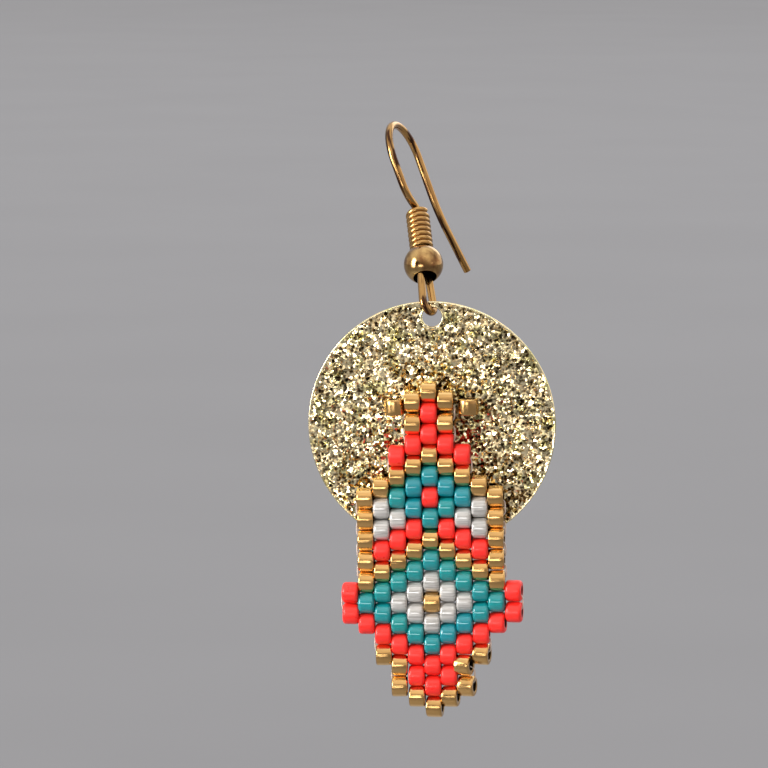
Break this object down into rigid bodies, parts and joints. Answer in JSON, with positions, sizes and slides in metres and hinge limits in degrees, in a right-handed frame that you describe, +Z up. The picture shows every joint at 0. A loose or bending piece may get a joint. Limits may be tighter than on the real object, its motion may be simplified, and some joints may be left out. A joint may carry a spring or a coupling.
{
  "type": "drop earring",
  "caption": "Drop earring: ball-and-coil ear wire, crinkled round metal disc and a flat hanging panel of woven cylinder beads.",
  "frame": {"origin": "inside top of the ear wire's arch, where it hangs in the ear lobe", "axes": "+Z up, the disc and the panel face -Y, +X to the viewer's right"},
  "size_m": [0.02, 0.014, 0.0476],
  "materials": {
    "wire_gold": "polished, gold plated",
    "disc_gold": "crinkled and polished pale gold",
    "bead_gold": "metallic gold glaze",
    "bead_coral": "opaque gloss",
    "bead_turquoise": "opaque gloss",
    "bead_white": "pearl",
    "thread": "waxed beading thread"
  },
  "bodies": {
    "hanger": {"ear_wire": "wire_gold", "wire_coil": "wire_gold", "ball_bead": "wire_gold"},
    "drop": {"disc": "disc_gold", "bead_panel": "bead_gold"}
  },
  "joints": [
    {"name": "drop_swing", "type": "hinge", "parent": "hanger", "child": "drop", "pos_m": [0.00385, -0.00843, -0.01407], "axis": [0, 1, 0], "range_deg": [-40, 10]}
  ]
}
